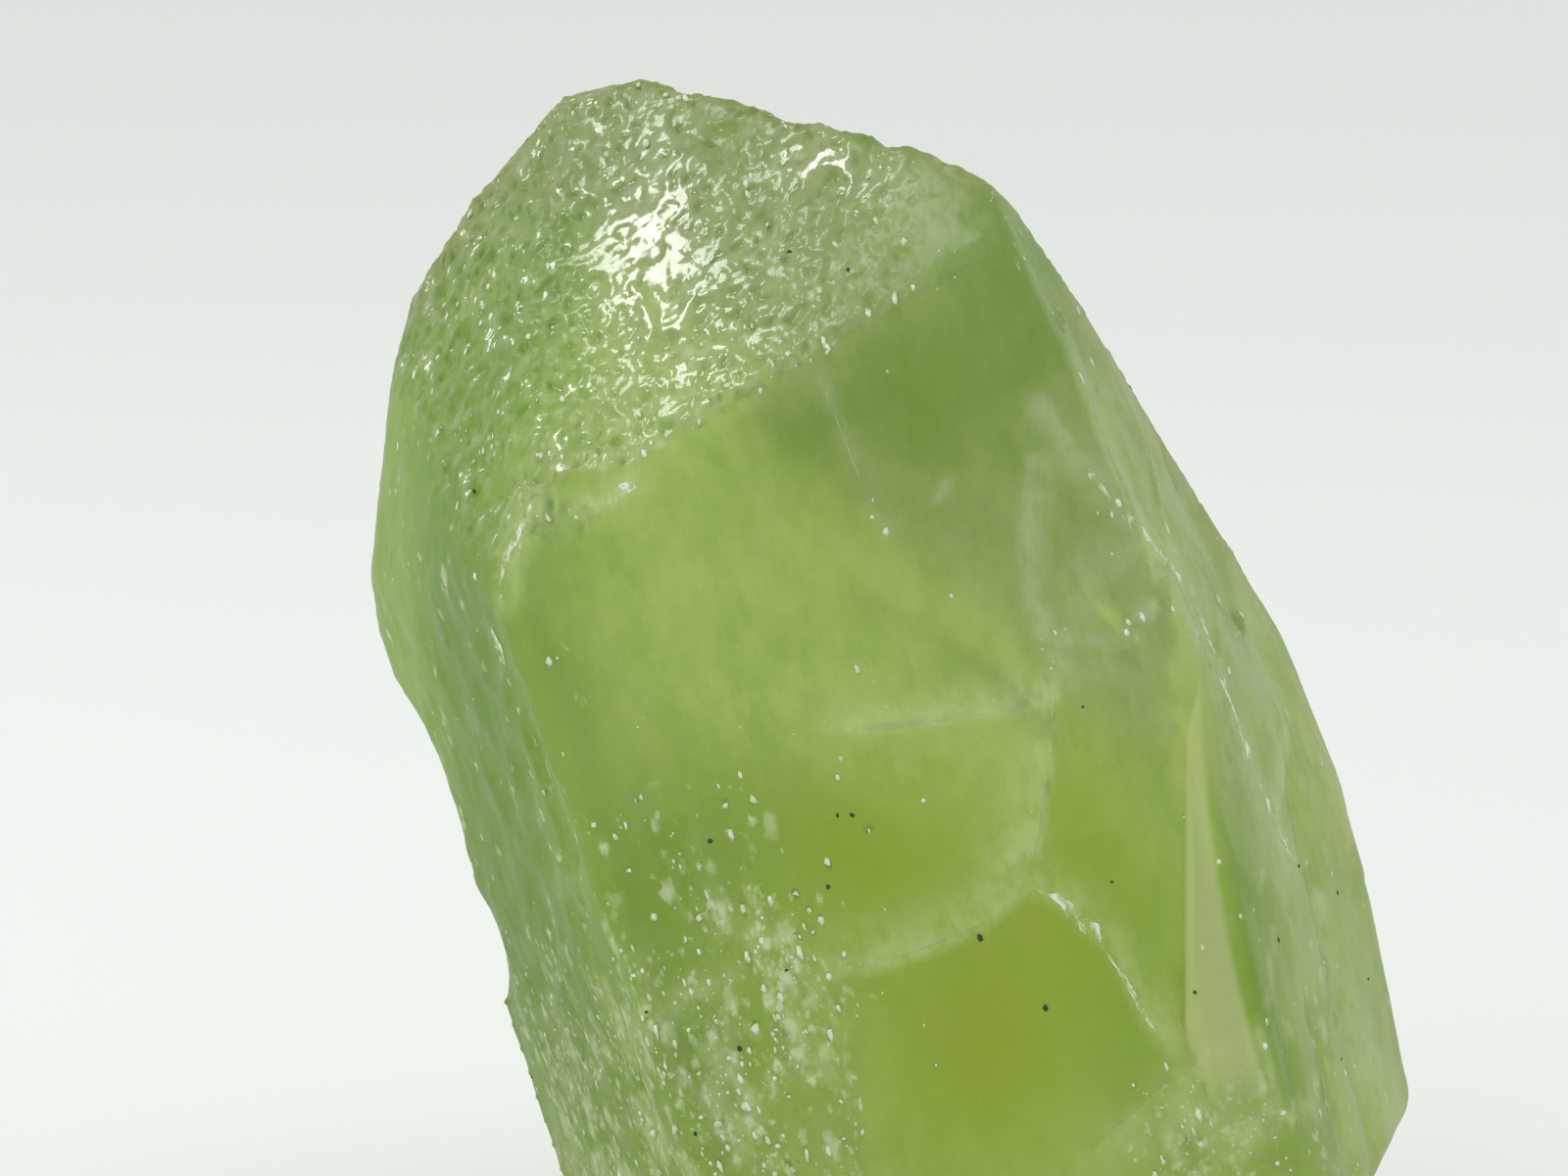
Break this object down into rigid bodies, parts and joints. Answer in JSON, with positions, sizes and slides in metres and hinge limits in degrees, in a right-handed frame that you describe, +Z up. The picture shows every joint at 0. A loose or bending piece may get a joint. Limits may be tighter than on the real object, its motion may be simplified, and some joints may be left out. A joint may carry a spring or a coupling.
{
  "type": "peridot crystal",
  "caption": "Leaning green olivine crystal: a thick six-sided blade with a pitted wedge-shaped termination, standing on its flat broken foot.",
  "frame": {"origin": "on the table, under the middle of the crystal's box, in the plane of its flat foot", "axes": "+Z up, along the crystal's height; +X to the viewer's right, away from the lean; +Y from the broad front face into the crystal, across its thickness"},
  "size_m": [0.0212, 0.013, 0.0241],
  "materials": {
    "peridot": "clear to frosted yellow-green gem crystal, etched on its termination, IOR 1.67"
  },
  "bodies": {
    "root": {"peridot_crystal": "peridot"}
  },
  "joints": []
}
